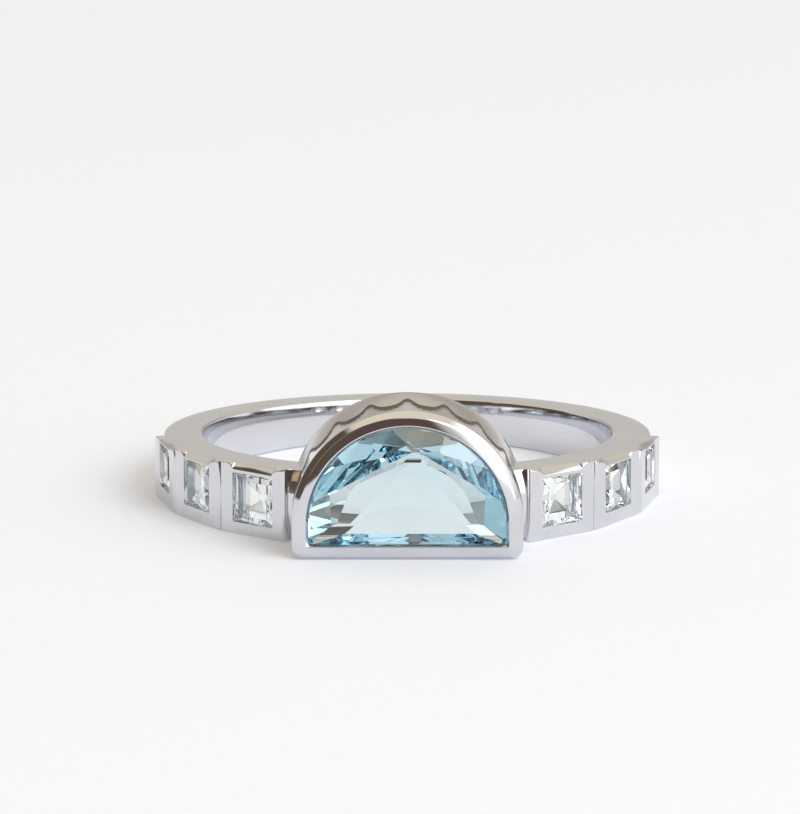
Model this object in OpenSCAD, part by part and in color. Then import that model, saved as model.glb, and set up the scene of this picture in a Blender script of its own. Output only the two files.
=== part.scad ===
// Stackable half-moon ring: a plain polished shank, three box settings with
// square stones on each shoulder, and an open-backed half-moon bezel at the front.
// The ring lies on its side. +Z is the axis of the finger hole, the setting faces -Y,
// and the origin is on that axis in the plane of the lower edges. Millimetres.

/* [Finger hole and shank] */
// Diameter of the finger hole
bore_d = 17; // [14:0.2:22]
// Wall of the plain shank, from the finger hole to its outermost line
shank_wall = 1.8; // [1.3:0.05:2.5]
// How far the shank's outer face falls away at its upper and lower edges
shank_dome = 0.25; // [0.05:0.05:0.6]
// How much lower the band is at the back than beside the bezel
band_taper = 1.3; // [0:0.05:1.4]
// How much farther from the finger the back of the setting is above the band
head_relief = 0.1; // [0.05:0.05:0.3]

/* [Box settings] */
// Box settings on each shoulder
boxes_a_side = 3; // [1:1:5]
// Height of the rail above and below a square stone
rail_h = 0.5; // [0.4:0.05:0.8]
// Width of the bar on each side of a square stone
bar_w = 0.72; // [0.5:0.02:1]
// Wall of a box setting, from the finger hole to its flat front face
box_wall = 1.85; // [1.6:0.05:2.6]
// Plain strip between the bezel and the first box setting
shoulder_w = 0.2; // [0:0.05:0.5]
// Depth of the groove where two box settings meet
box_groove = 0.16; // [0.05:0.01:0.3]
// Depth of the scoop cut in the upper rail of each box
scoop_depth = 0.28; // [0.1:0.02:0.4]
// How far the scoop runs back over the top of the band
scoop_run = 0.25; // [0.1:0.05:0.6]

/* [Square stones] */
// Side of a square stone
square_side = 2; // [1.4:0.1:2.2]
// How much smaller each square stone is than the one before it
square_drop = 0.12; // [0.1:0.01:0.15]
// Height of a square stone's crown above its girdle
square_crown = 0.2; // [0.1:0.05:0.4]
// Thickness of a square stone's girdle
square_girdle = 0.1; // [0.05:0.05:0.2]
// Depth of a square stone below its girdle
square_pavilion = 0.9; // [0.6:0.05:1.2]

/* [Half-moon bezel] */
// Radius of the bezel's outer arch
moon_r = 4.65; // [3.8:0.1:5.5]
// Height of the straight sides below the arch
moon_straight = 1.45; // [0.8:0.05:2]
// Radius of the bezel's two lower corners
moon_corner = 0.5; // [0.2:0.05:0.8]
// Wall of the bezel, from its outline to the stone
bezel_wall = 0.66; // [0.5:0.02:1]
// How far the bezel's ridge stands in front of the box settings
bezel_proud = 2; // [0.8:0.05:2.5]
// Width of the slope outside the ridge
rim_outer_w = 0.5; // [0.1:0.02:0.6]
// Drop of the slope outside the ridge
rim_outer_drop = 0.3; // [0.1:0.02:0.4]
// Drop of the slope inside the ridge, down to the stone
rim_inner_drop = 0.15; // [0.1:0.05:0.4]

/* [Scalloped gallery] */
// Depth of the bezel's skirt at the top of a scallop, behind the ridge
skirt_depth = 1.5; // [1:0.05:2]
// How far the points between the scallops reach past that
scallop_reach = 1.05; // [0.4:0.05:1.4]
// Angle from one point of the gallery to the next
scallop_pitch = 19; // [15:1:30]
// Points on each side of the one at the top
scallops_a_side = 3; // [1:1:4]
// How much the base behind the skirt is set in from it
base_inset = 0.14; // [0.05:0.01:0.3]

/* [Half-moon stone] */
// Height of the half-moon stone's crown above its girdle
moon_crown = 0.5; // [0.3:0.05:0.8]
// Thickness of the half-moon stone's girdle
moon_girdle = 0.14; // [0.05:0.01:0.2]
// Depth of the half-moon stone below its girdle
moon_pavilion = 2.2; // [1.2:0.05:2.4]
// Width of the crown facets, from the girdle to the table
crown_facet = 1.05; // [0.6:0.05:1.4]
// Main facets round the stone's arch
arch_facets = 8; // [6:1:12]

/* [Fit] */
// Gap between a stone's girdle and its seat
seat_gap = 0.02; // [0.01:0.01:0.05]
// Ledge left behind the half-moon stone
seat_ledge = 0.45; // [0.2:0.05:0.6]

/* [Hidden] */
$fn = 96;
bore_r = bore_d / 2;
shank_r = bore_r + shank_wall;
face_r = bore_r + box_wall;
band_h = square_side + 2 * rail_h;
box_half = square_side / 2 + bar_w;
box_pitch = 2 * atan(box_half / face_r);
first_box = asin((moon_r + shoulder_w) / face_r) + box_pitch / 2;
ridge_r = face_r + bezel_proud;
moon_girdle_r = ridge_r - rim_inner_drop;
square_girdle_r = face_r - square_crown;
square_table = 0.72;
square_step = 0.6;
square_step_depth = 0.55;
square_culet = 0.12;
keel_half = 1 / 4;
keel_rise = 2 / 5;
ledge_slope = 3 / 4;
rim_fn = 64;
sliver = 0.01;
over = 1;
shoulder_y = face_r * cos(first_box - box_pitch / 2);
taper_end = shank_r + over;
least_rail = 0.08;

function square_name(side, i) = str("square_stone_", side < 0 ? "left_" : "right_", i);
function box_angle(side, i) = side * (first_box + (i - 1) * box_pitch);
// Height of the band's upper face at a distance behind the finger hole's axis
function band_top(y) = band_h - band_taper * (y + shoulder_y) / (shank_r + shoulder_y);
function box_top(i) = band_top(-face_r * cos(box_angle(1, i)));
function stone_side(i) = square_side - (i - 1) * square_drop;
// Depth of the scoop in a box's rail, less where the tapered band leaves a low rail
function scoop_of(i) = min(scoop_depth, box_top(i) - (band_h + stone_side(i)) / 2 - least_rail);

// Outline of the half moon, drawn in X and Z, drawn in from the bezel's outline
module half_moon(inset = 0) {
    r = moon_r - inset;
    corner = max(moon_corner - inset, 0.05);
    translate([0, moon_straight]) intersection() {
        circle(r);
        translate([-r, 0]) square([2 * r, r]);
    }
    translate([-r, inset + corner]) square([2 * r, moon_straight - inset - corner]);
    translate([corner - r, inset]) square([2 * (r - corner), moon_straight - inset]);
    for (x = [corner - r, r - corner]) translate([x, inset + corner]) circle(corner);
}

// A slab of the half moon between two distances from the finger hole's axis
module moon_slab(front, back, inset = 0) {
    translate([0, -back, 0]) rotate([90, 0, 0])
        linear_extrude(front - back) half_moon(inset);
}

// Places its children at a box setting, with that box's front face towards -Y
module at_box(side, i) {
    rotate([0, 0, box_angle(side, i)]) children();
}

// Cross-section of the shank, turned round the finger hole
module shank() {
    mid = band_h / 2;
    dome_r = (mid * mid + shank_dome * shank_dome) / (2 * shank_dome);
    rotate_extrude() intersection() {
        translate([bore_r - over, 0]) square([shank_wall + over, band_h]);
        translate([shank_r - dome_r, mid]) circle(dome_r);
    }
}

// One box setting in plan, with the grooves at its two front corners
module box_setting() {
    linear_extrude(band_h) polygon([
        [-box_half, -face_r + box_groove], [box_groove - box_half, -face_r],
        [box_half - box_groove, -face_r], [box_half, -face_r + box_groove],
        [box_half, -bore_r], [-box_half, -bore_r]
    ]);
}

// All that lies above the sloping upper face of the band, from the shoulders to the back
module taper_cut() {
    rotate([90, 0, 90]) linear_extrude(2 * taper_end, center = true) polygon([
        [-shoulder_y, band_h], [taper_end, band_top(taper_end)],
        [taper_end, band_h + over], [-shoulder_y, band_h + over]
    ]);
}

// The scoop in a box's upper rail: flat over the stone, rising to both sides
module scoop(i) {
    flat = stone_side(i) / 2;
    side_w = box_half - box_groove - flat;
    depth = scoop_of(i);
    floor_len = norm([depth, scoop_run]);
    translate([0, -face_r, box_top(i) - depth])
        rotate([atan2(depth, scoop_run), 0, 0])
            translate([0, floor_len + over, 0]) rotate([90, 0, 0])
                linear_extrude(floor_len + 2 * over) polygon([
                    [-flat, 0], [flat, 0], [flat + 2 * side_w, 2 * depth],
                    [-flat - 2 * side_w, 2 * depth]
                ]);
}

// Square pocket for one stone, with a smaller light hole behind it
module square_seat(i) {
    pocket = stone_side(i) + 2 * seat_gap;
    hole = stone_side(i) * square_step + 2 * seat_gap;
    seat_r = square_girdle_r - square_girdle - seat_gap;
    taper = square_pavilion * square_step_depth;
    translate([0, -face_r - over, band_h / 2]) {
        translate([-pocket / 2, 0, -pocket / 2]) cube([pocket, face_r + over - seat_r, pocket]);
        translate([-hole / 2, 0, -hole / 2]) cube([hole, face_r + over - bore_r + over, hole]);
    }
    intersection() {
        translate([0, 0, (band_h - pocket) / 2]) linear_extrude(pocket)
            seat_taper(pocket, hole, seat_r, taper);
        translate([pocket / 2, 0, band_h / 2]) rotate([0, -90, 0]) linear_extrude(pocket)
            seat_taper(pocket, hole, seat_r, taper);
    }
}

// Side view of the sloping seat under a square stone
module seat_taper(wide, narrow, r, taper) {
    polygon([
        [-wide / 2, -r - sliver], [wide / 2, -r - sliver], [wide / 2, -r],
        [narrow / 2, -r + taper], [-narrow / 2, -r + taper], [-wide / 2, -r]
    ]);
}

// Thin square slice facing -Y, at a distance from the finger hole's axis
module square_slice(side, r) {
    translate([-side / 2, -r, (band_h - side) / 2]) cube([side, sliver, side]);
}

// Bezel in front of its base, with the two slopes of its rim
module bezel() {
    hull() {
        moon_slab(ridge_r, ridge_r - sliver, rim_outer_w, $fn = rim_fn);
        moon_slab(ridge_r - rim_outer_drop, ridge_r - rim_outer_drop - sliver, $fn = rim_fn);
    }
    moon_slab(ridge_r - rim_outer_drop, ridge_r - skirt_depth);
    for (k = [-scallops_a_side : scallops_a_side]) gallery_point(k * scallop_pitch);
    moon_slab(ridge_r - skirt_depth, 0, base_inset);
}

// One point of the gallery: a wedge of the skirt that narrows towards the finger
module gallery_point(angle) {
    half = moon_r * tan(scallop_pitch / 2);
    intersection() {
        moon_slab(ridge_r, 0);
        translate([0, 0, moon_straight]) rotate([0, angle, 0])
            linear_extrude(moon_r + over) polygon([
                [-half, -ridge_r + skirt_depth - sliver], [half, -ridge_r + skirt_depth - sliver],
                [half / 5, -ridge_r + skirt_depth + scallop_reach],
                [-half / 5, -ridge_r + skirt_depth + scallop_reach]
            ]);
    }
}

// Opening of the bezel, its slope, the stone's pocket and the open back
module moon_seat() {
    seat_r = moon_girdle_r - moon_girdle - seat_gap;
    ledge_depth = seat_ledge / ledge_slope;
    hull() {
        moon_slab(ridge_r + sliver, ridge_r, rim_outer_w, $fn = rim_fn);
        moon_slab(moon_girdle_r, moon_girdle_r - sliver, bezel_wall, $fn = rim_fn);
    }
    moon_slab(moon_girdle_r, seat_r, bezel_wall);
    hull() {
        moon_slab(seat_r, seat_r - sliver, bezel_wall, $fn = rim_fn);
        moon_slab(seat_r - ledge_depth, seat_r - ledge_depth - sliver,
            bezel_wall + seat_ledge, $fn = rim_fn);
    }
    moon_slab(seat_r - ledge_depth, bore_r - over, bezel_wall + seat_ledge);
}

// Space kept clear for the finger, a little wider above the band, which alone bears on it
module finger_hole() {
    translate([0, 0, -over]) cylinder(r = bore_r, h = moon_straight + moon_r + 2 * over);
    translate([0, 0, band_h]) cylinder(r = bore_r + head_relief, h = moon_straight + moon_r);
}

// All the metal: soldered and polished as one
module ring_metal() {
    color("silver") difference() {
        union() {
            difference() {
                union() {
                    shank();
                    for (side = [-1, 1]) for (i = [1 : boxes_a_side])
                        at_box(side, i) box_setting();
                }
                taper_cut();
            }
            bezel();
        }
        for (side = [-1, 1]) for (i = [1 : boxes_a_side]) at_box(side, i) {
            scoop(i);
            square_seat(i);
        }
        moon_seat();
        finger_hole();
    }
}

// Corners of the half-moon stone's outline, with straight facets round its arch
function moon_corners(inset, facets) =
    let (r = moon_r - inset)
    concat(
        [[-r, inset], [r, inset]],
        [for (a = [0 : 180 / facets : 180]) [r * cos(a), moon_straight + r * sin(a)]]
    );

// Thin faceted slice of the half-moon stone, at a distance from the axis
module stone_slice(inset, facets, r, thick = sliver) {
    translate([0, -r, 0]) rotate([90, 0, 0])
        linear_extrude(thick) polygon(moon_corners(inset, facets));
}

// Half-moon stone: table, crown facets, girdle, and a pavilion that runs to a keel
module half_moon_stone() {
    inset = bezel_wall + seat_gap;
    girdle_back = moon_girdle_r - moon_girdle;
    stone_r = moon_r - inset;
    keel = [stone_r * keel_half, inset + stone_r * keel_rise];
    color("paleturquoise") hull() {
        stone_slice(inset + crown_facet, arch_facets, moon_girdle_r + moon_crown - sliver);
        stone_slice(inset, 2 * arch_facets, girdle_back, moon_girdle);
        translate([-keel[0], -girdle_back + moon_pavilion - sliver, keel[1]])
            cube([2 * keel[0], sliver, sliver]);
    }
}

// Square stone: table, crown facets, girdle, and a step-cut pavilion
module square_stone(side, i) {
    girdle_back = square_girdle_r - square_girdle;
    wide = stone_side(i);
    color("whitesmoke") at_box(side, i) hull() {
        square_slice(wide * square_table, face_r);
        square_slice(wide, square_girdle_r);
        square_slice(wide, girdle_back + sliver);
        square_slice(wide * square_step, girdle_back - square_pavilion * square_step_depth);
        square_slice(wide * square_culet, girdle_back - square_pavilion + sliver);
    }
}

ring_metal();
half_moon_stone();
for (side = [-1, 1]) for (i = [1 : boxes_a_side])
    square_stone(side, i);
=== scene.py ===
# %% [markdown]
# # A stackable ring with a half-moon stone
# This script gives a packed ring its looks. The ring lies on its side, so its finger hole points
# up along Z and its setting faces -Y. Pieces are drawn in millimetres, which suit a jeweller's
# sizes and Blender's merge distances, and each is brought down to metres when it is done.

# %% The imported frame
import math

import bmesh
import bpy
from mathutils import Matrix, Vector


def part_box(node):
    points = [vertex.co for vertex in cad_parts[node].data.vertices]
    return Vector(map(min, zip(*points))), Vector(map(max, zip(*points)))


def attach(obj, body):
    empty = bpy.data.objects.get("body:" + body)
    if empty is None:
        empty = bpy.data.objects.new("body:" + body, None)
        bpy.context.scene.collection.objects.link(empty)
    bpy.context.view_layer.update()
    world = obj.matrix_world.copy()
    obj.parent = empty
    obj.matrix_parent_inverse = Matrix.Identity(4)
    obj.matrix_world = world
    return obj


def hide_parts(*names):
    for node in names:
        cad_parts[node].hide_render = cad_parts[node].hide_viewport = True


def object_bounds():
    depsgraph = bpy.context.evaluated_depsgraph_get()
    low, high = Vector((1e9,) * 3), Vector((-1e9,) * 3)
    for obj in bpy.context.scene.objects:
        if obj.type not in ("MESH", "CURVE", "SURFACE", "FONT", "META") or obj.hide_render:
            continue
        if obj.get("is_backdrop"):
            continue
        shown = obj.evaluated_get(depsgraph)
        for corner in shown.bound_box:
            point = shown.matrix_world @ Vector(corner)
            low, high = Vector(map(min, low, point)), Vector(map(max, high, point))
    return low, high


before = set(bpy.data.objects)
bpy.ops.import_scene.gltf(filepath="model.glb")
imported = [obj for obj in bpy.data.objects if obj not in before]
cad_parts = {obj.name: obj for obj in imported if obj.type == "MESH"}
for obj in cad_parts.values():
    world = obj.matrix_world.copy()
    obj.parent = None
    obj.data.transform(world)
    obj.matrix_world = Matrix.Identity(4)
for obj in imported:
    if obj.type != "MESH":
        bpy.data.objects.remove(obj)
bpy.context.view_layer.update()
MM = 0.001

# %% [markdown]
# ## Measures
# The drawing's own numbers are repeated here. The places of the stones are worked out from them,
# and printed beside the places of the imported nodes. An inset is measured inwards from the
# bezel's half-moon outline, and a depth is measured back from the highest line of its rim.

# %% Measures from the drawing
BORE_R = 8.5
SHANK_R = 10.3
FACE_R = 10.35
BAND_H = 3.0
RIDGE_Y = -12.35
MOON_R = 4.65
MOON_STRAIGHT = 1.45
MOON_CORNER = 0.5
POCKET_INSET = 0.66
STONE_INSET = 0.68
LEDGE_INSET = 1.11
GALLERY_PITCH = 19
BOX_HALF = 1.72
SHOULDER_W = 0.2
HEAD_RELIEF = 0.1
BAND_TAPER = 1.3
SQUARE_SIDE, SQUARE_DROP = 2.0, 0.12
pitch = 2 * math.degrees(math.atan(BOX_HALF / FACE_R))
first_box = math.degrees(math.asin((MOON_R + SHOULDER_W) / FACE_R)) + pitch / 2
box_angles = {}
for side, sign in (("left", -1), ("right", 1)):
    for k in (1, 2, 3):
        node = f"square_stone_{side}_{k}"
        box_angles[node] = sign * (first_box + (k - 1) * pitch)
        low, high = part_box(node)
        middle = (low + high) / 2
        seen = math.degrees(math.atan2(middle.x, -middle.y))
        print(node, "drawn at", round(box_angles[node], 1), "its box is near", round(seen, 1))
SQUARES = list(box_angles)
SHOULDER_Y = FACE_R * math.cos(math.radians(first_box - pitch / 2))
TAPER_SLOPE = BAND_TAPER / (SHANK_R + SHOULDER_Y)


def band_top(y):
    """Height of the band's upper face, which slopes down from the bezel to the back."""
    return min(BAND_H, BAND_H - TAPER_SLOPE * (y + SHOULDER_Y))


def half_square(number):
    """Half a square stone's side, less for each box away from the bezel."""
    return (SQUARE_SIDE - SQUARE_DROP * (number - 1)) / 2


print("band height at the back:", round(band_top(SHANK_R), 2), "mm")

# %% [markdown]
# ## Drawing with loops
# A jeweller draws an outline and then gives it a cross-section. The same is done here: a circle
# of vertices is numbered, each number is a station on the outline, and the loop is extruded again
# and again, every new loop being put where the cross-section says. Insetting faces by hand would
# be quicker for a plain shape, but the tight lower corners of the half moon would cross over.

# %% Helpers for loops of stations
MERGE = 0.0001
FINE_RADIUS, FINE_STEPS = 0.05, 3


def deselect():
    if bpy.context.mode != "OBJECT":
        bpy.ops.object.mode_set(mode="OBJECT")
    bpy.ops.object.select_all(action="DESELECT")


def edit(obj, action="SELECT"):
    """Opens one object in edit mode, with all of it selected or none of it."""
    deselect()
    obj.select_set(True)
    bpy.context.view_layer.objects.active = obj
    bpy.ops.object.mode_set(mode="EDIT")
    bpy.ops.mesh.select_mode(type="VERT")
    bpy.ops.mesh.select_all(action=action)


def put(obj, place):
    """Moves the selected vertices to where place says for their station."""
    mesh = bmesh.from_edit_mesh(obj.data)
    station = mesh.verts.layers.int["station"]
    for vert in mesh.verts:
        if vert.select:
            vert.co = place(vert[station])
    bmesh.update_edit_mesh(obj.data)


def draw_loops(name, count, places, closed):
    """A skin over a list of loops: a closed cross-section, or a solid capped at both ends."""
    deselect()
    fill = "NOTHING" if closed else "NGON"
    bpy.ops.mesh.primitive_circle_add(vertices=count, radius=1, fill_type=fill)
    obj = bpy.context.object
    obj.name = obj.data.name = name
    station = obj.data.attributes.new("station", "INT", "POINT")
    station.data.foreach_set("value", range(count))
    edit(obj)
    put(obj, places[0])
    for place in places[1:]:
        if closed:
            bpy.ops.mesh.extrude_edges_indiv()
        else:
            bpy.ops.mesh.extrude_region()
        put(obj, place)
    if closed:
        bpy.ops.mesh.extrude_edges_indiv()
        put(obj, places[0])
    bpy.ops.mesh.select_all(action="SELECT")
    bpy.ops.mesh.remove_doubles(threshold=MERGE)
    bpy.ops.mesh.normals_make_consistent(inside=False)
    bpy.ops.object.mode_set(mode="OBJECT")
    return obj


def rounded(corners, steps=5):
    """Points round a closed outline of (x, y, radius) corners, each turned into an arc.

    A small radius gets fewer steps, and a radius of 0 leaves the corner as one point.
    """
    points = []
    for k, (x, y, radius) in enumerate(corners):
        here = Vector((x, y))
        if radius == 0:
            points.append(here)
            continue
        arc_steps = steps if radius > FINE_RADIUS else min(steps, FINE_STEPS)
        before = (Vector(corners[k - 1][:2]) - here).normalized()
        after = (Vector(corners[(k + 1) % len(corners)][:2]) - here).normalized()
        half = before.angle(after) / 2
        reach = radius / math.tan(half)
        centre = here + (before + after).normalized() * radius / math.sin(half)
        for s in range(arc_steps + 1):
            share = s / arc_steps
            arm = (before * (1 - share) + after * share) * reach + here - centre
            points.append(centre + arm.normalized() * radius)
    return points


# %% [markdown]
# A finished piece is checked for open edges, brought down to metres, and shaded smooth except
# where its faces meet at an angle. Weighted normals keep the broadest polished faces flat, so that
# the narrow rounded edges bend the reflections, as on a real cast and polished ring.


# %% Helper that finishes a piece
def apply_modifier(obj, kind, **settings):
    """Adds one modifier with its settings, and applies it."""
    deselect()
    obj.select_set(True)
    bpy.context.view_layer.objects.active = obj
    modifier = obj.modifiers.new(kind, kind)
    for key, value in settings.items():
        setattr(modifier, key, value)
    bpy.ops.object.modifier_apply(modifier=modifier.name)


def open_edges(obj):
    """How many edges don't have exactly two faces, and the volume inside."""
    mesh = bmesh.new()
    mesh.from_mesh(obj.data)
    count = sum(not edge.is_manifold for edge in mesh.edges)
    volume = mesh.calc_volume(signed=True)
    mesh.free()
    return count, volume


def finish_piece(obj, smooth_deg, weighted=True):
    """Checks a piece, brings it down to metres and shades it."""
    edit(obj)
    bpy.ops.mesh.normals_make_consistent(inside=False)
    bpy.ops.object.mode_set(mode="OBJECT")
    count, volume = open_edges(obj)
    bpy.ops.transform.resize(value=(MM, MM, MM), center_override=(0, 0, 0))
    bpy.ops.object.transform_apply(location=True, rotation=True, scale=True)
    bpy.ops.object.shade_smooth_by_angle(angle=math.radians(smooth_deg))
    if weighted:
        apply_modifier(obj, "WEIGHTED_NORMAL", keep_sharp=True, weight=80)
    if obj.data.attributes.get("station"):
        obj.data.attributes.remove(obj.data.attributes["station"])
    print(obj.name, "faces", len(obj.data.polygons), "open edges", count, "mm3", round(volume, 2))
    return obj


# %% [markdown]
# Shade is painted into the metal along the skirt's rear edge and in the cove behind it. How deep in
# this painted shade each vertex lies is written to the mesh as an attribute, and the metal reads
# it.


# %% Helper that marks painted shade
def mark_painted_shade(obj, shade_of):
    """Writes the painted shade for a place in millimetres, from 0 in the open to 1, on every
    vertex.
    """
    layer = obj.data.attributes.new("painted_shade", "FLOAT", "POINT")
    values = [max(0.0, min(1.0, shade_of(vert.co / MM))) for vert in obj.data.vertices]
    layer.data.foreach_set("value", values)
    print(obj.name, "recessed vertices:", sum(v > 0.5 for v in values), "of", len(values))


# %% [markdown]
# ## The half-moon outline
# A half circle stands on short straight sides, and two small corners turn into the straight lower
# edge. Every station gives one point of it, at any inset.

# %% Stations of the half moon
ARCH_STEPS, SIDE_STEPS, CORNER_STEPS, FOOT_STEPS = 240, 6, 10, 40
MOON_STATIONS = ARCH_STEPS + 2 * SIDE_STEPS + 2 * CORNER_STEPS + FOOT_STEPS
LEAST_CORNER = 0.12


def moon_point(station, inset):
    """X and Z of a station of the half moon, counted from its right shoulder over the top."""
    r = MOON_R - inset
    corner = max(MOON_CORNER - inset, LEAST_CORNER)
    foot = inset + corner
    if station <= ARCH_STEPS:
        turn = math.pi * station / ARCH_STEPS
        return r * math.cos(turn), MOON_STRAIGHT + r * math.sin(turn)
    station -= ARCH_STEPS
    if station <= SIDE_STEPS:
        share = station / SIDE_STEPS
        return -r, MOON_STRAIGHT + share * (foot - MOON_STRAIGHT)
    station -= SIDE_STEPS
    if station <= CORNER_STEPS:
        turn = math.pi + math.pi / 2 * station / CORNER_STEPS
        return corner - r + corner * math.cos(turn), foot + corner * math.sin(turn)
    station -= CORNER_STEPS
    if station <= FOOT_STEPS:
        return (corner - r) * (1 - 2 * station / FOOT_STEPS), inset
    station -= FOOT_STEPS
    if station <= CORNER_STEPS:
        turn = 1.5 * math.pi + math.pi / 2 * station / CORNER_STEPS
        return r - corner + corner * math.cos(turn), foot + corner * math.sin(turn)
    station -= CORNER_STEPS
    return r, foot + station / SIDE_STEPS * (MOON_STRAIGHT - foot)


moon_top = moon_point(ARCH_STEPS // 2, 0)[1]
print("half moon:", MOON_STATIONS, "stations, top at", round(moon_top, 2), "mm")

# %% [markdown]
# ## Bezel
# The bezel is a wall of metal that holds the half-moon stone by its edge. Its rim is polished
# round: it rises steeply from the outside, turns over a broad front, and drops over a thin lip to
# the stone. Behind, the wall ends in a scalloped skirt, whose points reach back towards the
# finger. The cross-section is one closed loop of inset and depth. Its rear edge moves back at each
# point of the skirt, and some plain loops in front of that edge follow it less and less.

# %% Bezel
POINT_REACH = 1.05
POINT_WIDTH = 0.42
POINTS_A_SIDE = 3
SKIRT_DEPTH = 1.5
SKIRT_THICK = 0.38
SKIRT_LOOPS, SKIRT_SPACING = 6, 0.15
SKIRT_FRONT, SKIRT_EDGE = 0.5, 0.04
OUTER_INSET = 0.04


def scallop_at(from_top):
    """How far back the skirt reaches at an angle from the arch's top, in degrees."""
    nearest = max(-POINTS_A_SIDE, min(POINTS_A_SIDE, round(from_top / GALLERY_PITCH)))
    away = abs(from_top - nearest * GALLERY_PITCH) / (GALLERY_PITCH / 2)
    return POINT_REACH * math.exp(-((away / POINT_WIDTH) ** 2))


def scallop(station):
    """How far back the skirt reaches at a station, behind the top of its scallops."""
    return 0 if station > ARCH_STEPS else scallop_at(180 * station / ARCH_STEPS - 90)


rim = rounded(
    [
        (0, SKIRT_DEPTH, 0.03),
        *((0, SKIRT_DEPTH - SKIRT_SPACING * k, 0) for k in range(1, SKIRT_LOOPS + 1)),
        (0, 0.36, 0.1),
        (0.22, 0.12, 0.22),
        (0.56, 0.0, 0.05),
        (POCKET_INSET, 0.13, 0.02),
        (POCKET_INSET, 0.31, 0.01),
        (0.98, 0.91, 0.04),
        (LEDGE_INSET, 1.15, 0.04),
        (LEDGE_INSET, 1.45, 0.04),
        (SKIRT_THICK, 1.45, 0.01),
        (SKIRT_THICK, SKIRT_DEPTH, 0.03),
    ],
    12,
)


def rim_place(inset, depth):
    """A loop of the rim: the skirt's outer loops move back in step with its scalloped edge."""
    end = SKIRT_DEPTH - SKIRT_EDGE
    start = SKIRT_FRONT if inset < OUTER_INSET else end
    share = max(0.0, min(1.0, (depth - start) / (end - start + MERGE)))

    def place(s):
        x, z = moon_point(s, inset)
        return x, RIDGE_Y + depth + scallop(s) * share, z

    return place


bezel = draw_loops("bezel", MOON_STATIONS, [rim_place(*point) for point in rim], True)
finish_piece(bezel, 50, weighted=False)


# %% Painted shade along the skirt
SKIRT_DARK, DARK_RUN = 1.8, 1.05
DARK_FOOT, DARK_INSET = 0.3, 0.08


def arch_of(place):
    """Distance from the arch's centre, and degrees from its top, of a place on the bezel."""
    rise = Vector((place.x, place.z - MOON_STRAIGHT))
    return rise.length, math.degrees(math.atan2(rise.x, rise.y))


def skirt_painted_shade(place):
    """Painted shade along the skirt's rear edge, and clear in front."""
    out, from_top = arch_of(place)
    if place.z < MOON_STRAIGHT - DARK_FOOT or out < MOON_R - DARK_INSET:
        return 0
    rear = SKIRT_DEPTH + scallop_at(from_top)
    return SKIRT_DARK * (1 - (rear + RIDGE_Y - place.y) / DARK_RUN)


# The bezel gets painted shade along its skirt's rear edge.
mark_painted_shade(bezel, skirt_painted_shade)

# %% [markdown]
# ## Gallery base
# Behind the skirt, a plainer wall of the same outline carries the bezel down to the finger. It is
# hollowed like a cove, deepest right behind the skirt, and flares out to the finger. Its rear face
# follows the finger hole, so it is drawn in several loops that each lie on the bore. Above the
# band it is relieved by a tenth of a millimetre, so that only the band bears on the finger.

# %% Gallery base
COVE_INSET, COVE_CURVE, COVE_STEPS = 0.34, 1.7, 8
BASE_FRONT = 1.2
REAR_STEPS = 4
EDGE, EDGE_MIDDLE = 0.1, 0.03
RELIEF_RISE = 0.05
COVE_CLEARS, COVE_WALL, INSIDE_DARK = 3.2, 0.5, 0.4


def on_bore(x, z):
    """The wall of the finger hole, which stands back a little above the band."""
    above = max(0.0, min(1.0, (z - BAND_H) / RELIEF_RISE))
    return -math.sqrt((BORE_R + HEAD_RELIEF * above) ** 2 - x**2)


def base_place(inset, depth=None, forward=0):
    """A loop of the base at a depth, or on the finger hole and as far forward of it as asked."""

    def place(s):
        x, z = moon_point(s, inset)
        y = RIDGE_Y + depth if depth is not None else on_bore(x, z) - forward
        return x, y, z

    return place


def cove_place(share):
    """A loop of the cove: share runs from 0 behind the skirt to 1 at the finger hole."""

    def place(s):
        inset = COVE_INSET * (1 - share) ** COVE_CURVE
        x, z = moon_point(s, inset)
        start, end = RIDGE_Y + BASE_FRONT, on_bore(x, z) - EDGE
        return x, start + share * (end - start), z

    return place


rows = [cove_place(k / COVE_STEPS) for k in range(COVE_STEPS + 1)]
rows.append(base_place(EDGE_MIDDLE, forward=EDGE_MIDDLE))
for k in range(REAR_STEPS + 1):
    rows.append(base_place(EDGE + k / REAR_STEPS * (LEDGE_INSET - 2 * EDGE)))
rows.append(base_place(LEDGE_INSET - EDGE_MIDDLE, forward=EDGE_MIDDLE))
rows += [base_place(LEDGE_INSET, forward=EDGE), base_place(LEDGE_INSET, BASE_FRONT)]
gallery = draw_loops("gallery_base", MOON_STATIONS, rows, True)
finish_piece(gallery, 50, weighted=False)


def cove_painted_shade(place):
    """Painted shade behind the skirt, clear towards the finger, and half painted shade inside."""
    if arch_of(place)[0] <= MOON_R - COVE_WALL:
        return INSIDE_DARK
    front = RIDGE_Y + BASE_FRONT
    return 1 - COVE_CLEARS * (place.y - front) / (on_bore(place.x, place.z) - front)


# The gallery gets painted shade in its cove, right behind the skirt, and half of it inside.
mark_painted_shade(gallery, cove_painted_shade)

# %% [markdown]
# ## Shank
# The plain part of the band is a low D in section: flat towards the finger, gently domed outside,
# with its edges polished round. A filled outline is spun round the finger hole, from the last box
# setting on one side, over the back, to the last one on the other, and is then made lower towards
# the back, as the band tapers. Two short pieces of the same section join the boxes to the bezel.

# %% Shank
SHANK_DOME = 0.25
DOME_STEPS, SHANK_STEPS = 12, 144
SHANK_EDGE, DOME_EDGE = 0.12, 0.01
SHOULDER_TURN, SHOULDER_STEPS = 3.6, 4


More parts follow.
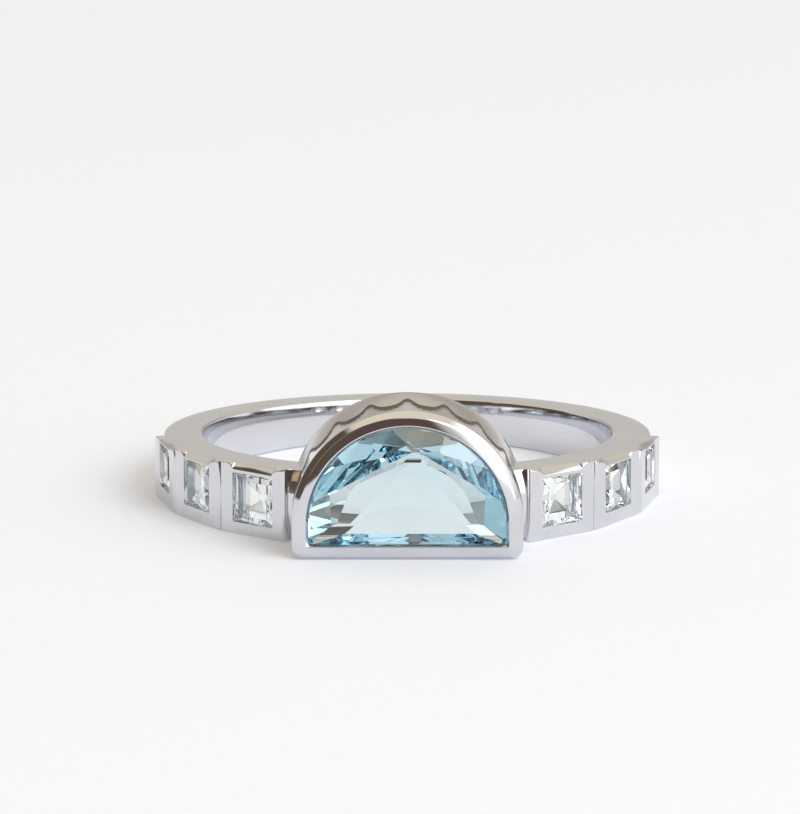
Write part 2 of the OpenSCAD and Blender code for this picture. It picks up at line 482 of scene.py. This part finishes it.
def shank_section():
    """Radius and height round the shank's section, with rounded edges."""
    low = SHANK_R - SHANK_DOME
    corners = [(BORE_R, 0, SHANK_EDGE), (low, 0, SHANK_EDGE)]
    for k in range(1, DOME_STEPS):
        share = 2 * k / DOME_STEPS - 1
        radius = SHANK_R - SHANK_DOME * share**2
        corners.append((radius, BAND_H * k / DOME_STEPS, DOME_EDGE))
    corners += [(low, BAND_H, SHANK_EDGE), (BORE_R, BAND_H, SHANK_EDGE)]
    return rounded(corners, FINE_STEPS)


def spun_band(name, start_deg, end_deg, steps):
    """The shank's section, spun round the finger hole between two angles from the front."""
    section = shank_section()
    start, turn = math.radians(start_deg), math.radians(end_deg - start_deg)
    side = Vector((math.sin(start), -math.cos(start), 0))

    def place(s):
        return side * section[s].x + Vector((0, 0, section[s].y))

    deselect()
    bpy.ops.mesh.primitive_circle_add(vertices=len(section), radius=1, fill_type="NGON")
    obj = bpy.context.object
    obj.name = obj.data.name = name
    station = obj.data.attributes.new("station", "INT", "POINT")
    station.data.foreach_set("value", range(len(section)))
    edit(obj)
    put(obj, place)
    bpy.ops.mesh.spin(steps=steps, angle=turn, center=(0, 0, 0), axis=(0, 0, -1))
    bpy.ops.mesh.select_all(action="SELECT")
    bpy.ops.mesh.remove_doubles(threshold=MERGE)
    bpy.ops.object.mode_set(mode="OBJECT")
    for vert in obj.data.vertices:
        vert.co.z *= band_top(vert.co.y) / BAND_H
    return finish_piece(obj, 35)


rear_edge = box_angles[SQUARES[5]] + pitch / 2
box_edge = box_angles[SQUARES[3]] - pitch / 2
shank = spun_band("shank", rear_edge, 360 - rear_edge, SHANK_STEPS)
inner_edge = box_edge - SHOULDER_TURN
shoulder_right = spun_band("shoulder_right", inner_edge, box_edge, SHOULDER_STEPS)
shoulder_left = spun_band("shoulder_left", -box_edge, -inner_edge, SHOULDER_STEPS)

# %% [markdown]
# ## Box settings
# Each square stone sits in a little box with a flat front. Rounded front corners leave a groove
# where two boxes meet, and the upper rail is scooped out between the bars, so that every bar ends
# in a rounded point. The stones and the rails get smaller towards the back. Each size of box is
# modelled at the front and cut with two solids, as a setter cuts with burs. It is copied to its
# place on both sides, the band's sloping upper face is cut across it, and its edges are bevelled,
# but not where it is soldered to its neighbours.

# %% Box block and its cutters
SIDE_TURN = math.radians(pitch / 2)
BOX_CORNER = 0.15
BORE_STEPS = 8
SQUARE_STATIONS = 8
SCOOP_DEPTH, SCOOP_RUN, SCOOP_REACH, SCOOP_ABOVE, SCOOP_STEPS = 0.28, 0.25, 1.2, 0.6, 12
LEAST_RAIL, LIGHT_SHARE = 0.08, 0.6
SEAT_GAP, SEAT_R, SEAT_DEPTH, SEAT_CORNER = 0.02, 10.03, 0.495, 0.04
CUT_OVER = 0.3
EDGE_ROUND, EDGE_ANGLE, SOLDER_MARGIN = 0.02, 0.6, 0.0005
SLIVER, FLAT_DEG = 0.012, 0.5


def box_plan():
    """The box seen from above: two arcs at the front corners, and an arc along the bore."""
    half = FACE_R * math.tan(SIDE_TURN)
    inner = Vector((math.sin(SIDE_TURN), -math.cos(SIDE_TURN))) * BORE_R
    corners = [(-half, -FACE_R, BOX_CORNER), (half, -FACE_R, BOX_CORNER), (*inner, 0)]
    for k in range(1, BORE_STEPS):
        turn = SIDE_TURN * (1 - 2 * k / BORE_STEPS)
        corners.append((BORE_R * math.sin(turn), -BORE_R * math.cos(turn), 0))
    corners.append((-inner.x, inner.y, 0))
    return rounded(corners)


def scoop_line(flat, top, depth):
    """The scoop's edge on the front face: flat over the stone, then round up to both sides."""
    line = [(-BOX_HALF, top + SCOOP_ABOVE), (-BOX_HALF, top)]
    for k in range(1, SCOOP_STEPS + 1):
        turn = math.pi / 2 * k / SCOOP_STEPS
        x = BOX_HALF - (BOX_HALF - flat) * math.sin(turn)
        line.append((-x, top - depth + depth * math.cos(turn)))
    return line + [(-x, z) for x, z in reversed(line)]


def square_place(half, y, corner):
    """Eight stations round a square that faces -Y, with its corners cut."""
    across, short = half, half - corner
    spots = [(across, -short), (across, short), (short, across), (-short, across)]
    spots += [(-across, short), (-across, -short), (-short, -across), (short, -across)]
    return lambda s: (spots[s][0], y, BAND_H / 2 + spots[s][1])


def box_block(number, half, top):
    """One box at the front, with its scoop and its stone's seat cut."""
    plan = box_plan()
    name = f"box_setting_{number}"
    rows = [lambda s, z=z: (plan[s].x, plan[s].y, z) for z in (0, BAND_H)]
    block = draw_loops(name, len(plan), rows, False)
    depth = min(SCOOP_DEPTH, top - BAND_H / 2 - half - LEAST_RAIL)
    line = scoop_line(half, top, depth)
    climb = depth / SCOOP_RUN
    rows = [
        lambda s, b=b: (line[s][0], b - FACE_R, line[s][1] + climb * b)
        for b in (-CUT_OVER, SCOOP_REACH)
    ]
    scoop = draw_loops("scoop", len(line), rows, False)
    opening, hole = half + SEAT_GAP, half * LIGHT_SHARE + SEAT_GAP
    rows = [(opening, -FACE_R - CUT_OVER), (opening, -SEAT_R)]
    rows += [(hole, SEAT_DEPTH - SEAT_R), (hole, CUT_OVER - BORE_R)]
    rows = [square_place(h, y, SEAT_CORNER) for h, y in rows]
    pocket = draw_loops("pocket", SQUARE_STATIONS, rows, False)
    for cutter in (scoop, pocket):
        apply_modifier(block, "BOOLEAN", object=cutter, operation="DIFFERENCE", solver="EXACT")
        bpy.data.objects.remove(cutter)
    print(name, "scoop", round(depth, 2), "deep,", len(block.data.polygons), "faces")
    return block


# %% Placing, tapering and bevelling the boxes
def copy_to(obj, name, angle):
    """A copy with its own mesh, turned round the finger hole."""
    copy = obj.copy()
    copy.data = obj.data.copy()
    copy.name = copy.data.name = name
    bpy.context.scene.collection.objects.link(copy)
    deselect()
    copy.select_set(True)
    bpy.context.view_layer.objects.active = copy
    copy.matrix_world = Matrix.Rotation(math.radians(angle), 4, "Z")
    bpy.ops.object.transform_apply(location=True, rotation=True, scale=True)
    return copy


def taper_and_bevel(obj, angle):
    """Cuts the band's upper face across a box, and bevels its edges but for the soldered ones."""
    edit(obj)
    bpy.ops.mesh.bisect(
        plane_co=(0, -SHOULDER_Y, BAND_H),
        plane_no=(0, TAPER_SLOPE, 1),
        use_fill=True,
        clear_outer=True,
    )
    bpy.ops.mesh.select_all(action="SELECT")
    bpy.ops.mesh.remove_doubles(threshold=SLIVER)
    bpy.ops.mesh.dissolve_limited(angle_limit=math.radians(FLAT_DEG))
    bpy.ops.mesh.normals_make_consistent(inside=False)
    mesh = bmesh.from_edit_mesh(obj.data)
    weight = mesh.edges.layers.float.new("bevel_weight_edge")
    upright = Matrix.Rotation(math.radians(-angle), 4, "Z")
    for edge in mesh.edges:
        ends = [upright @ vert.co for vert in edge.verts]
        turns = [math.atan2(abs(p.x), -p.y) for p in ends]
        soldered = min(turns) > SIDE_TURN - SOLDER_MARGIN
        edge[weight] = 0 if soldered or edge.calc_face_angle(0) < EDGE_ANGLE else 1
    bmesh.update_edit_mesh(obj.data)
    apply_modifier(
        obj,
        "BEVEL",
        width=EDGE_ROUND,
        segments=2,
        limit_method="WEIGHT",
        use_clamp_overlap=False,
    )


settings = []
for number in (1, 2, 3):
    half = half_square(number)
    angle = box_angles[f"square_stone_right_{number}"]
    block = box_block(number, half, band_top(-FACE_R * math.cos(math.radians(angle))))
    for side in ("left", "right"):
        angle = box_angles[f"square_stone_{side}_{number}"]
        piece = copy_to(block, f"box_setting_{side}_{number}", angle)
        taper_and_bevel(piece, angle)
        settings.append(finish_piece(piece, 30))
    bpy.data.objects.remove(block)

# %% [markdown]
# ## Half-moon stone
# A cutter grinds a stone flat by flat, and that is how it is made here. A thick half-moon blank is
# drawn, and one bisect after another takes away all that lies in front of a facet's plane and
# fills the cut. In front are the table, the main crown facets, small star and girdle facets, and
# two steps along the straight edge. Behind, the main facets run up to a short keel near the top
# of the arch, so that the lower one stays open to the light. Steeper facets break up the rest, and
# a steep step along the straight edge throws the light back.

# %% Half-moon stone
GIRDLE_FRONT, GIRDLE_BACK = -12.2, -12.06
TABLE_Y, CULET_Y = -12.7, -9.86
STONE_R = MOON_R - STONE_INSET
CROWN_TILT = 25.5
KEEL_Z, KEEL_HALF = 3.85, 0.1
CULET_DEPTH = CULET_Y - GIRDLE_BACK


def cut(obj, point, normal):
    """Grinds one flat: everything on the normal's side of the plane goes, and the cut is filled."""
    edit(obj)
    bpy.ops.mesh.bisect(
        plane_co=point, plane_no=normal, use_fill=True, clear_outer=True, threshold=0.0005
    )


def arch_flat(obj, direction, tilt, at_y, reach=None, front=True):
    """A flat that faces a direction round the arch, tilted back from the table's plane."""
    turn, lean = math.radians(direction), math.radians(tilt)
    across = Vector((math.cos(turn), 0, math.sin(turn)))
    reach = STONE_R if reach is None else reach
    point = Vector((0, at_y, MOON_STRAIGHT)) + across * reach
    normal = across * math.sin(lean) + Vector((0, -1 if front else 1, 0)) * math.cos(lean)
    cut(obj, point, normal)


def foot_flat(obj, tilt, at_y, up=0.0, front=True):
    """A flat along the straight lower edge."""
    lean = math.radians(tilt)
    normal = Vector((0, -math.cos(lean) if front else math.cos(lean), -math.sin(lean)))
    cut(obj, Vector((0, at_y, STONE_INSET + up)), normal)


def stone_place(y):
    return lambda s: (moon_point(s, STONE_INSET)[0], y, moon_point(s, STONE_INSET)[1])


moon_stone = draw_loops(
    "half_moon_stone_cut", MOON_STATIONS, [stone_place(TABLE_Y), stone_place(CULET_Y)], False
)
for k in range(8):
    main = 11.25 + 22.5 * k
    arch_flat(moon_stone, main, CROWN_TILT, GIRDLE_FRONT)
    for side in (-5.6, 5.6):
        arch_flat(moon_stone, main + side, CROWN_TILT + 12, GIRDLE_FRONT)
for k in range(1, 8):
    arch_flat(moon_stone, 22.5 * k, 15, TABLE_Y, STONE_R - 1.28)
for tilt, up, depth in ((44, 0, 0), (30, 0.2, 0.16), (23, 0.55, 0.33)):
    foot_flat(moon_stone, tilt, GIRDLE_FRONT - depth, up)
for side in (-1, 1):
    corner = Vector((side * STONE_R, GIRDLE_FRONT, STONE_INSET))
    cut(moon_stone, corner + Vector((-0.1 * side, 0, 0.1)), Vector((side, -2.6, -1)))
    cut(moon_stone, corner, Vector((side, -1.9, -0.15)))

# %% Pavilion of the half-moon stone
MOST_TILT = 59
keel = Vector((0.3, CULET_Y, KEEL_Z))


def keel_flat(obj, direction, steeper=0.0):
    """A pavilion flat from the girdle to the end of the keel on its own side."""
    turn = math.radians(direction)
    across = Vector((math.cos(turn), 0, math.sin(turn)))
    end = keel + Vector((math.copysign(KEEL_HALF, across.x), 0, 0))
    centre = Vector((0, CULET_Y, MOON_STRAIGHT))
    run = STONE_R - (end - centre).dot(across)
    tilt = min(math.degrees(math.atan2(CULET_DEPTH, run)) + steeper, MOST_TILT)
    arch_flat(obj, direction, tilt, GIRDLE_BACK, front=False)
    return tilt


tilts = [keel_flat(moon_stone, 22.5 * k) for k in range(9)]
for k in range(16):
    keel_flat(moon_stone, 5.6 + 11.25 * k, 7)
STEP_UP, STEP_TILT = 0.5, 57
step_depth = STEP_UP * math.tan(math.radians(STEP_TILT))
foot_run = KEEL_Z - STONE_INSET - STEP_UP
foot_tilt = math.degrees(math.atan2(CULET_DEPTH - step_depth, foot_run))
foot_flat(moon_stone, foot_tilt, GIRDLE_BACK + step_depth, STEP_UP, front=False)
foot_flat(moon_stone, STEP_TILT, GIRDLE_BACK, front=False)
for side in (-1, 1):
    corner = Vector((side * STONE_R, GIRDLE_BACK, STONE_INSET))
    cut(moon_stone, corner, Vector((side, 2.05, -0.62)))
edit(moon_stone)
bpy.ops.mesh.remove_doubles(threshold=0.002)
bpy.ops.mesh.dissolve_degenerate(threshold=0.002)
finish_piece(moon_stone, 4, weighted=False)
print("pavilion tilts:", [round(t) for t in tilts], "straight edge:", round(foot_tilt))

# %% [markdown]
# ## Square stones
# The small stones are step cut: a square table, one crown step, a thin girdle, and a pavilion in
# two steps to a small flat culet. One of each size is drawn, and copied to both sides.

# %% Square stones
SQUARE_ROWS = [
    (0.72, -10.35, 0.03),
    (1.0, -10.15, 0.04),
    (1.0, -10.05, 0.04),
    (0.6, -9.555, 0.03),
    (0.12, -9.15, 0.01),
]
square_stones = []
for number in (1, 2, 3):
    half = half_square(number)
    rows = [square_place(share * half, y, corner) for share, y, corner in SQUARE_ROWS]
    small = draw_loops("small", 8, rows, False)
    for side in ("left", "right"):
        node = f"square_stone_{side}_{number}"
        piece = copy_to(small, node + "_cut", box_angles[node])
        square_stones.append((node, finish_piece(piece, 4, weighted=False)))
    bpy.data.objects.remove(small)

# %% [markdown]
# ## Node groups
# Effects that several finishes share are node groups, built once and placed with their own values.


# %% Helpers for node trees
def new_group(name, inputs, outputs):
    """A shader node group with float inputs, and outputs of the kinds that are named."""
    group = bpy.data.node_groups.new(name, "ShaderNodeTree")
    for label, value in inputs.items():
        socket = group.interface.new_socket(
            name=label, in_out="INPUT", socket_type="NodeSocketFloat"
        )
        socket.default_value = value
    for label, kind in outputs.items():
        group.interface.new_socket(name=label, in_out="OUTPUT", socket_type=kind)
    return group, group.nodes.new("NodeGroupInput"), group.nodes.new("NodeGroupOutput")


def feed(tree, socket, value):
    """Sets a socket to a value, or joins it to another socket."""
    if isinstance(value, bpy.types.NodeSocket):
        tree.links.new(value, socket)
    else:
        socket.default_value = value


def add(tree, kind, values=None, **settings):
    """A node with its settings, and its sockets set to values or joined to other sockets."""
    node = tree.nodes.new(kind)
    for key, value in settings.items():
        setattr(node, key, value)
    for key, value in (values or {}).items():
        feed(tree, node.inputs[key], value)
    return node


def calc(tree, operation, first, second=None, clamp=False):
    """The result of one Math node."""
    values = {0: first} if second is None else {0: first, 1: second}
    return add(tree, "ShaderNodeMath", values, operation=operation, use_clamp=clamp).outputs[0]


def blend(tree, share, first, second):
    """The result of mixing two colours."""
    node = add(tree, "ShaderNodeMix", data_type="RGBA")
    for key, value in {"Factor": share, "A": first, "B": second}.items():
        feed(tree, next(s for s in node.inputs if s.name == key and s.enabled), value)
    return next(s for s in node.outputs if s.enabled)


def use_group(tree, group, values):
    """A placed copy of a node group."""
    return add(tree, "ShaderNodeGroup", values, node_tree=group)


# %% [markdown]
# Polished metal is never a perfect mirror. Fine hairlines run over it in two directions, and
# handling leaves soft patches where the shine is a little duller. Both are noise on Object
# coordinates, in metres, so a scale of 5000 gives details of about a fifth of a millimetre.

# %% Group: fine polish
polish_group, enter, leave = new_group(
    "fine_polish",
    {"Scale": 5000, "Least roughness": 0.04, "Most roughness": 0.1},
    {"Roughness": "NodeSocketFloat", "Height": "NodeSocketFloat"},
)
tree = polish_group
where = add(tree, "ShaderNodeTexCoord").outputs["Object"]
soft = add(
    tree,
    "ShaderNodeTexNoise",
    {"Vector": where, "Scale": calc(tree, "MULTIPLY", enter.outputs["Scale"], 0.12), "Detail": 3},
)
lines = []
for turn in ((0.3, 0.1, 0.5), (0.1, 1.2, 0.9)):
    stretched = add(tree, "ShaderNodeMapping", {"Vector": where, "Rotation": turn})
    stretched.inputs["Scale"].default_value = (1, 9, 9)
    noise = add(
        tree,
        "ShaderNodeTexNoise",
        {"Vector": stretched.outputs[0], "Scale": enter.outputs["Scale"], "Detail": 4},
    )
    lines.append(noise.outputs[0])
hairlines = calc(tree, "MULTIPLY", lines[0], lines[1])
span = calc(
    tree, "SUBTRACT", enter.outputs["Most roughness"], enter.outputs["Least roughness"]
)
patch = calc(tree, "MULTIPLY_ADD", soft.outputs[0], 2.2)
patch.node.inputs[2].default_value = -0.6
patch.node.use_clamp = True
mixed = calc(tree, "MULTIPLY", patch, hairlines)
mixed = calc(tree, "MULTIPLY", mixed, 3.0, True)
rough = calc(tree, "MULTIPLY", mixed, span)
tree.links.new(
    calc(tree, "ADD", rough, enter.outputs["Least roughness"]), leave.inputs["Roughness"]
)
tree.links.new(hairlines, leave.inputs["Height"])

# %% Group: cloudiness inside a stone
veil_group, enter, leave = new_group(
    "inclusion_veil", {"Scale": 900, "Amount": 0.2}, {"Mask": "NodeSocketFloat"}
)
tree = veil_group
where = add(tree, "ShaderNodeTexCoord").outputs["Object"]
cloud = add(
    tree,
    "ShaderNodeTexNoise",
    {"Vector": where, "Scale": enter.outputs["Scale"], "Detail": 5, "Distortion": 0.6},
)
thin = calc(tree, "SUBTRACT", cloud.outputs[0], 0.55)
thin = calc(tree, "MULTIPLY", thin, 5.0, True)
tree.links.new(calc(tree, "MULTIPLY", thin, enter.outputs["Amount"]), leave.inputs["Mask"])
print("node groups:", [g.name for g in bpy.data.node_groups])

# %% [markdown]
# ## Polished metal
# The metal is bright, almost white, and only as warm as what it reflects. Its colour is nearly
# even, with shade painted in towards a deep brown along the skirt's edge and in the cove behind it.

# %% Polished metal
# How far, and towards which dark brown, the painted shade darkens the metal.
MOST_SHADE, PAINTED_SHADE_COLOUR = 0.9, (0.1, 0.08, 0.068, 1)


def new_material(name):
    """A material, its node tree and its shader."""
    material = bpy.data.materials.new(name)
    material.use_nodes = True
    return material, material.node_tree, material.node_tree.nodes["Principled BSDF"]


def metal(name, bright, dull, least, most):
    """A metal between two shades and two roughnesses, darkened by painted shade in the recesses."""
    material, tree, shader = new_material(name)
    shader.inputs["Metallic"].default_value = 1
    polish = use_group(tree, polish_group, {"Least roughness": least, "Most roughness": most})
    where = add(tree, "ShaderNodeTexCoord").outputs["Object"]
    patches = add(tree, "ShaderNodeTexNoise", {"Vector": where, "Scale": 420, "Detail": 4})
    share = calc(tree, "MULTIPLY_ADD", patches.outputs[0], 1.6)
    share.node.inputs[2].default_value = -0.45
    share.node.use_clamp = True
    # The attribute carries painted shade, which mixes the colour towards a dark brown.
    painted_shade = add(tree, "ShaderNodeAttribute", attribute_name="painted_shade").outputs["Fac"]
    shade = calc(tree, "MULTIPLY", painted_shade, MOST_SHADE)
    colour = blend(tree, shade, blend(tree, share, bright, dull), PAINTED_SHADE_COLOUR)
    tree.links.new(colour, shader.inputs["Base Color"])
    tree.links.new(polish.outputs["Roughness"], shader.inputs["Roughness"])
    bump = add(
        tree,
        "ShaderNodeBump",
        {"Height": polish.outputs["Height"], "Strength": 0.25, "Distance": 0.000002},
    )
    tree.links.new(bump.outputs[0], shader.inputs["Normal"])
    return material


polished = metal("polished_metal", (0.73, 0.735, 0.765, 1), (0.66, 0.662, 0.685, 1), 0.03, 0.09)
satin = metal("gallery_metal", (0.66, 0.66, 0.67, 1), (0.57, 0.56, 0.56, 1), 0.14, 0.28)

# %% [markdown]
# ## Stones
# A clear stone is glass to Blender: full transmission and a plain index of refraction. The pale
# blue one also soaks up red light on its way through, so it is deepest where light has bounced
# about inside it, and nearly clear where it goes straight through. The clear ones do so slightly.


# %% Stones
def gem(name, tint, tint_veiled, ior, absorbs, density):
    """A clear stone that soaks up all but one colour, the more the denser it is."""
    material, tree, shader = new_material(name)
    shader.inputs["Transmission Weight"].default_value = 1
    shader.inputs["IOR"].default_value = ior
    veil = use_group(tree, veil_group, {"Amount": 0.5})
    polish = use_group(
        tree, polish_group, {"Scale": 3000, "Least roughness": 0.0, "Most roughness": 0.03}
    )
    colour = blend(tree, veil.outputs["Mask"], tint, tint_veiled)
    tree.links.new(colour, shader.inputs["Base Color"])
    tree.links.new(polish.outputs["Roughness"], shader.inputs["Roughness"])
    inside = add(tree, "ShaderNodeVolumeAbsorption", {"Color": absorbs, "Density": density})
    tree.links.new(inside.outputs[0], tree.nodes["Material Output"].inputs["Volume"])
    return material


pale_blue = gem(
    "pale_blue_stone",
    (0.95, 0.99, 1, 1),
    (0.86, 0.93, 0.95, 1),
    1.58,
    (0.15, 0.63, 0.78, 1),
    125,
)
clear = gem(
    "clear_stone", (0.98, 1, 1, 1), (0.9, 0.95, 0.95, 1), 1.62, (0.8, 0.95, 0.93, 1), 60
)

# %% [markdown]
# The edge of the scallops is matt and dark: shade painted in where the skirt meets the cove.

# %% Painted shade on the scallops' edge
PAINTED_SHADE_FROM = 0.45
# A matt dark brown, mottled by noise: painted shade.
painted_shade_finish, tree, shader = new_material("painted_shade_metal")
where = add(tree, "ShaderNodeTexCoord").outputs["Object"]
shade_mottle = add(tree, "ShaderNodeTexNoise", {"Vector": where, "Scale": 2600, "Detail": 4})
dark = blend(tree, shade_mottle.outputs[0], (0.055, 0.042, 0.034, 1), (0.13, 0.1, 0.08, 1))
tree.links.new(dark, shader.inputs["Base Color"])
shader.inputs["Roughness"].default_value = 0.5
shader.inputs["Specular IOR Level"].default_value = 0.25


def paint_shade_on_faces(obj, least):
    """Gives the painted-shade finish to the faces that lie deepest in the painted shade."""
    obj.data.materials.append(painted_shade_finish)
    painted_shade = obj.data.attributes["painted_shade"].data
    count = 0
    for face in obj.data.polygons:
        if min(painted_shade[v].value for v in face.vertices) > least:
            face.material_index = 1
            count += 1
    print(obj.name, "blackened faces:", count)


# %% Giving each piece its finish
for piece in (bezel, shank, shoulder_left, shoulder_right, *settings):
    piece.data.materials.clear()
    piece.data.materials.append(polished)
gallery.data.materials.append(satin)
# The deepest faces along the skirt's edge get the matt painted-shade finish.
paint_shade_on_faces(bezel, PAINTED_SHADE_FROM)
for piece in (bezel, gallery, shank, shoulder_left, shoulder_right, *settings):
    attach(piece, "root")
    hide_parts("ring_metal")
moon_stone.data.materials.append(pale_blue)
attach(moon_stone, "root")
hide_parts("half_moon_stone")
for node, piece in square_stones:
    piece.data.materials.append(clear)
    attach(piece, "root")
    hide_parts(node)
for name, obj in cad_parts.items():
    obj.data.materials.clear()
    obj.data.materials.append(clear if "stone" in name else polished)

# %% [markdown]
# ## Floor
# The ring lies on a sheet of pale matt card. A little of its light is its own, which keeps the
# shadows as faint as they are on a sheet that is lit from all sides.

# %% Floor
deselect()
bpy.ops.mesh.primitive_plane_add(size=3, location=(0, 0, -0.00002))
floor = bpy.context.object
floor.name = "floor"
bpy.ops.object.transform_apply(location=True, rotation=True, scale=True)
card, tree, shader = new_material("pale_card")
shader.inputs["Roughness"].default_value = 0.85
shader.inputs["Specular IOR Level"].default_value = 0.2
where = add(tree, "ShaderNodeTexCoord").outputs["Object"]
fibres = add(tree, "ShaderNodeTexNoise", {"Vector": where, "Scale": 1600, "Detail": 5})
paper = blend(tree, fibres.outputs[0], (0.685, 0.724, 0.816, 1), (0.709, 0.748, 0.84, 1))
tree.links.new(paper, shader.inputs["Base Color"])
shader.inputs["Emission Color"].default_value = (1, 1, 1, 1)
shader.inputs["Emission Strength"].default_value = 0.2
floor.data.materials.append(card)
floor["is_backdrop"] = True

# %% [markdown]
# ## Light
# A polished ring shows little but its surroundings, so the light is a studio drawn on the sky: a
# pale ceiling, a bright window on the right, a dark wall with one warm streak on the left, a
# duller wall behind with warm light above it on the left, and a dark shape in front, where the
# person and the camera stand. Each is a soft patch between two azimuths and two elevations.
# Azimuth 0 is the front, and it grows to the right. What light finds behind a stone is paler than
# the studio, as a stone in an open setting shows the white card. The background is plain.

# %% Studio
card_group, enter, leave = new_group(
    "studio_card",
    {"Azimuth": 0, "Elevation": 0, "Left": 0, "Right": 0, "Low": 0, "High": 0, "Soft": 5},
    {"Mask": "NodeSocketFloat"},
)
tree = card_group
soft = enter.outputs["Soft"]
mask = None
for angle, edge, sign in (
    ("Azimuth", "Left", 1),
    ("Azimuth", "Right", -1),
    ("Elevation", "Low", 1),
    ("Elevation", "High", -1),
):
    inside = calc(tree, "SUBTRACT", enter.outputs[angle], enter.outputs[edge])
    inside = calc(tree, "MULTIPLY", inside, sign)
    inside = calc(tree, "DIVIDE", inside, soft, True)
    mask = inside if mask is None else calc(tree, "MULTIPLY", mask, inside)
tree.links.new(mask, leave.inputs["Mask"])

world = bpy.data.worlds.new("studio")
bpy.context.scene.world = world
world.use_nodes = True
tree = world.node_tree
tree.nodes.clear()
towards = add(tree, "ShaderNodeTexCoord").outputs["Generated"]
parts = add(tree, "ShaderNodeSeparateXYZ", {0: towards}).outputs
ahead = calc(tree, "MULTIPLY", parts["Y"], -1)
azimuth = calc(tree, "DEGREES", calc(tree, "ARCTAN2", parts["X"], ahead))
elevation = calc(tree, "DEGREES", calc(tree, "ARCSINE", parts["Z"]))
climb = calc(tree, "DIVIDE", elevation, 70.0, True)
sky = blend(tree, climb, (0.62, 0.60, 0.57, 1), (0.95, 0.85, 0.66, 1))
CARDS = [
    ((130, 181, 3, 26, 8), (0.5, 0.45, 0.4, 1)),
    ((-181, -130, 3, 26, 8), (0.5, 0.45, 0.4, 1)),
    ((-180, -100, 30, 91, 20), (0.75, 0.66, 0.5, 1)),
    ((16, 94, -8, 62, 8), (1.7, 1.72, 1.75, 1)),
    ((-106, -4, -30, 54, 6), (0.12, 0.095, 0.07, 1)),
    ((-59, -49, 8, 60, 4), (0.62, 0.48, 0.25, 1)),
    ((-24, 14, 2, 38, 5), (0.13, 0.08, 0.075, 1)),
]
for (left, right, low, high, edge), colour in CARDS:
    values = {"Azimuth": azimuth, "Elevation": elevation, "Left": left, "Right": right}
    values.update({"Low": low, "High": high, "Soft": edge})
    shape = use_group(tree, card_group, values).outputs["Mask"]
    sky = blend(tree, shape, sky, colour)
SEEN_THROUGH = 0.72
rays = add(tree, "ShaderNodeLightPath").outputs
through = calc(tree, "MULTIPLY", rays["Is Transmission Ray"], SEEN_THROUGH)
sky = blend(tree, through, sky, (0.98, 0.99, 1, 1))
studio = add(tree, "ShaderNodeBackground", {"Color": sky, "Strength": 1.0})
plain = add(tree, "ShaderNodeBackground", {"Color": (0.91, 0.91, 0.915, 1), "Strength": 1.0})
seen = rays["Is Camera Ray"]
mixed = add(tree, "ShaderNodeMixShader", {0: seen, 1: studio.outputs[0], 2: plain.outputs[0]})
add(tree, "ShaderNodeOutputWorld", {"Surface": mixed.outputs[0]})


def lamp(name, place, size, energy, colour):
    """A square area light that looks at the ring."""
    data = bpy.data.lights.new(name, "AREA")
    data.size = size
    data.energy = energy
    data.color = colour
    obj = bpy.data.objects.new(name, data)
    obj.location = place
    obj.rotation_mode = "QUATERNION"
    obj.rotation_quaternion = (-Vector(place)).to_track_quat("-Z", "Y")
    bpy.context.scene.collection.objects.link(obj)
    return obj


lamp("window_light", (0.28, -0.3, 0.34), 0.3, 1.1, (1.0, 0.98, 0.95))
print("studio cards:", len(CARDS))

# %% [markdown]
# ## Camera
# The camera stands well back with a long lens, a little above the ring, and looks square at the
# setting. It is moved sideways and up in parallel, not turned, to place the ring in the frame.
# Light bounces many times inside a faceted stone, which would turn black with the usual limits.

# %% Camera
CAMERA_RISE = math.radians(13.2)
CAMERA_DISTANCE = 0.35
TARGET = Vector((0, 0, 0.0025))
SIDE_STEP, UP_STEP = -0.000298, 0.000919
back = Vector((0, -math.cos(CAMERA_RISE), math.sin(CAMERA_RISE)))
up = Vector((0, math.sin(CAMERA_RISE), math.cos(CAMERA_RISE)))
data = bpy.data.cameras.new("camera")
data.lens = 373.9
data.sensor_width = 36
data.clip_start, data.clip_end = 0.01, 10
camera = bpy.data.objects.new("camera", data)
camera.location = TARGET + back * CAMERA_DISTANCE + Vector((SIDE_STEP, 0, 0)) + up * UP_STEP
camera.rotation_mode = "QUATERNION"
camera.rotation_quaternion = (-back).to_track_quat("-Z", "Y")
bpy.context.scene.collection.objects.link(camera)
bpy.context.scene.camera = camera
bpy.context.scene.view_settings.view_transform = "Standard"
cycles = bpy.context.scene.cycles
cycles.max_bounces, cycles.glossy_bounces, cycles.transmission_bounces = 24, 18, 24

# %% Sizes and the last line
low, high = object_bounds()
print("visual box, mm:", [round(v / MM, 2) for v in (*low, *high)])
